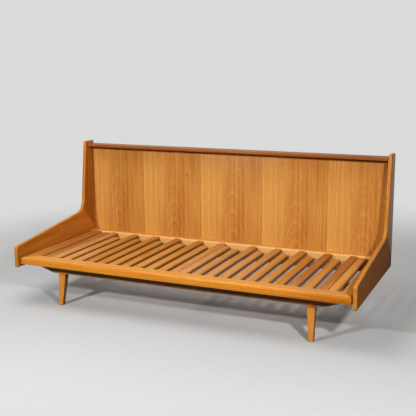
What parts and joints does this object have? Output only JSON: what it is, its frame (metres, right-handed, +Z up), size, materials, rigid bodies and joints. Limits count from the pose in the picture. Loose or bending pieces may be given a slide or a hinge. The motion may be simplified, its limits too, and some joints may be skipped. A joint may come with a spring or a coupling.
{
  "type": "sofa bed",
  "caption": "Wooden sofa bed frame with a tall veneered back, sloping arms and a slatted seat that pulls out on its own legs to make a bed.",
  "frame": {"origin": "on the floor below the middle of the whole object, seat closed", "axes": "+X along the seat to the right as seen from the front, +Y to the back, +Z up"},
  "size_m": [1.954, 0.83, 0.859],
  "materials": {
    "oak": "satin",
    "oak_veneer": "satin",
    "slat_oak": "satin",
    "pale_oak": "satin",
    "beech": "satin",
    "steel": "zinc plated"
  },
  "bodies": {
    "frame": {"back_panel": "oak_veneer", "back_screws": "steel", "fixed_bar_screws": "steel", "fixed_slat_01": "slat_oak", "fixed_slat_02": "slat_oak", "fixed_slat_03": "slat_oak", "fixed_slat_04": "slat_oak", "fixed_slat_05": "slat_oak", "fixed_slat_06": "slat_oak", "fixed_slat_07": "slat_oak", "fixed_slat_08": "slat_oak", "fixed_slat_09": "slat_oak", "fixed_slat_10": "slat_oak", "fixed_slat_11": "slat_oak", "fixed_slat_bar": "beech", "ledge_dowels": "beech", "left_arm": "oak", "left_rear_leg": "oak", "left_runner": "beech", "left_upright": "oak", "mitre_dowels": "beech", "rear_leg_pins": "beech", "rear_leg_rail": "beech", "rear_leg_rail_screws": "steel", "rear_rail": "pale_oak", "rear_rail_dowels": "beech", "right_arm": "oak", "right_rear_leg": "oak", "right_runner": "beech", "right_upright": "oak", "runner_screws": "steel", "top_ledge": "oak"},
    "pull_out": {"corner_dowels": "beech", "front_leg_pins": "beech", "front_leg_rail": "beech", "front_leg_rail_screws": "steel", "front_rail": "oak", "left_front_leg": "oak", "left_side_rail": "oak", "pull_out_bar": "beech", "pull_out_bar_screws": "steel", "pull_out_slat_01": "slat_oak", "pull_out_slat_02": "slat_oak", "pull_out_slat_03": "slat_oak", "pull_out_slat_04": "slat_oak", "pull_out_slat_05": "slat_oak", "pull_out_slat_06": "slat_oak", "pull_out_slat_07": "slat_oak", "pull_out_slat_08": "slat_oak", "pull_out_slat_09": "slat_oak", "pull_out_slat_10": "slat_oak", "pull_out_slat_11": "slat_oak", "pull_out_slat_12": "slat_oak", "pull_out_slat_13": "slat_oak", "right_front_leg": "oak", "right_side_rail": "oak"}
  },
  "joints": [
    {"name": "seat_slide", "type": "slide", "parent": "frame", "child": "pull_out", "axis": [0, -1, 0], "range_m": [0, 0.466]}
  ]
}
